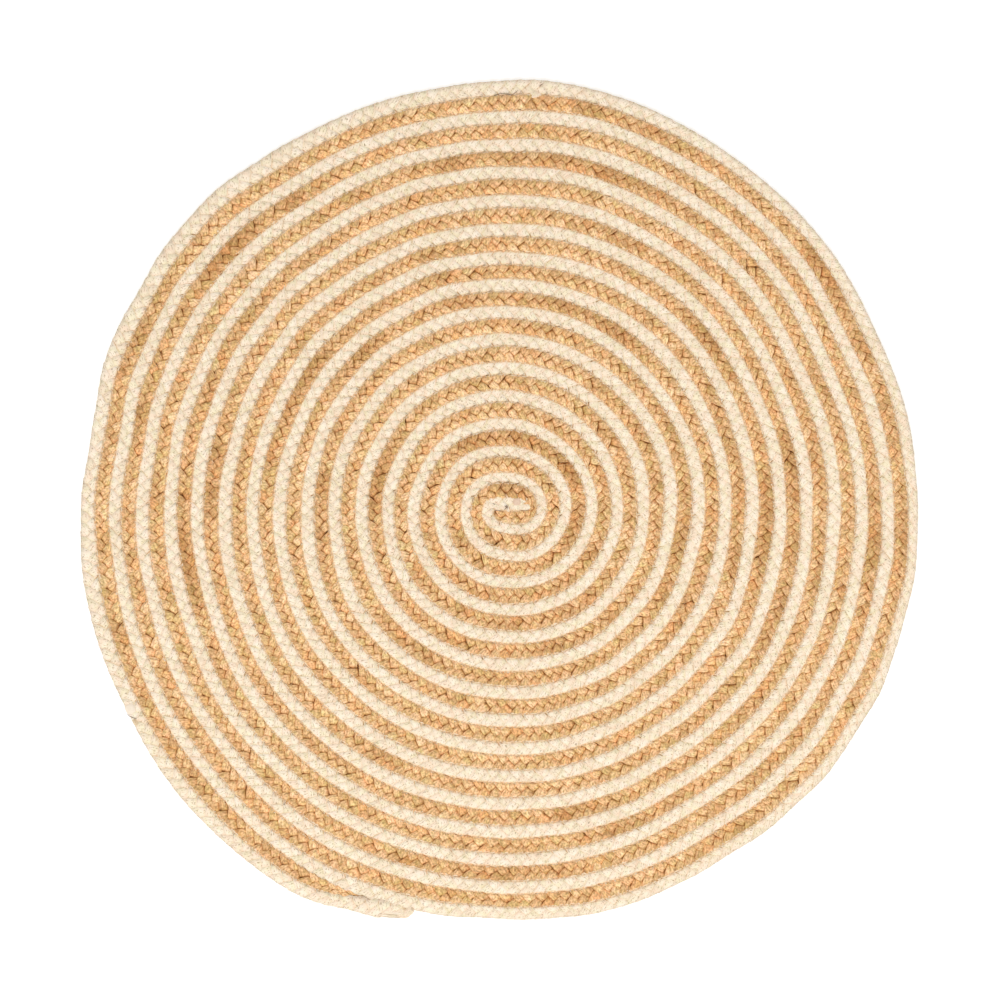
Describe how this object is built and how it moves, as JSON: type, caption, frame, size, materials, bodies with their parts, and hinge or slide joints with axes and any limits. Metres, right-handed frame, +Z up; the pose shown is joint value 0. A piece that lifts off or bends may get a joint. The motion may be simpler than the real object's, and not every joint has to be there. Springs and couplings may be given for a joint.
{
  "type": "round braided hemp and cotton rug",
  "caption": "Flat round floor rug of a hemp plait and a cotton plait wound together as a double spiral and sewn turn to turn.",
  "frame": {"origin": "on the floor, in the middle of the rug's footprint", "axes": "+Z up from the floor through the rug's thickness; +X and +Y lie in the floor, with the outer end of the cotton plait on the -Y side, a little towards -X"},
  "size_m": [0.9006, 0.8982, 0.009],
  "materials": {
    "hemp": "plaited bast fibre, golden tan",
    "cotton": "plaited cotton, natural cream"
  },
  "bodies": {
    "root": {"hemp_braid": "hemp", "cotton_braid": "cotton"}
  },
  "joints": []
}
